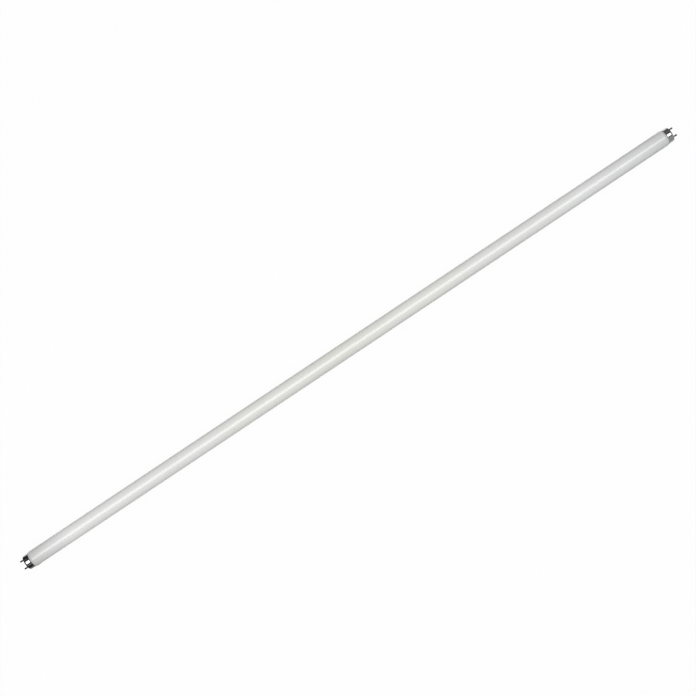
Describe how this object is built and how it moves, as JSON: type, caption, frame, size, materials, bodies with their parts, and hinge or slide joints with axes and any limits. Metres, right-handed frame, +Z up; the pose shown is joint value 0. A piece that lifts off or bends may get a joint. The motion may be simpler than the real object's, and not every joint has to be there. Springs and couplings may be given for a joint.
{
  "type": "fluorescent tube",
  "caption": "Straight 26 mm fluorescent lamp with a white coated glass tube, aluminium end caps and two contact pins at each end.",
  "frame": {"origin": "middle of the lamp, on the axis of the glass tube", "axes": "+X along the tube towards the right cap, +Y in the plane of the pins towards the rear pins, +Z up"},
  "size_m": [1.2136, 0.026, 0.026],
  "materials": {
    "coated_glass": "clear glossy glass over a matt white coating, so it is opaque",
    "cap_metal": "drawn and polished bright",
    "pin_metal": "nickel-plated brass, slightly dull",
    "disc_board": "dark brown insulating board with smooth faces",
    "cement": "rough baked cement",
    "wire_metal": "bare drawn copper-clad wire"
  },
  "bodies": {
    "root": {"sealed_glass_tube": "coated_glass", "left_cap_shell": "cap_metal", "left_insulating_disc": "disc_board", "left_cement_ring": "cement", "left_front_pin": "pin_metal", "left_rear_pin": "pin_metal", "left_front_lead_wire": "wire_metal", "left_rear_lead_wire": "wire_metal", "right_cap_shell": "cap_metal", "right_insulating_disc": "disc_board", "right_cement_ring": "cement", "right_front_pin": "pin_metal", "right_rear_pin": "pin_metal", "right_front_lead_wire": "wire_metal", "right_rear_lead_wire": "wire_metal"}
  },
  "joints": []
}
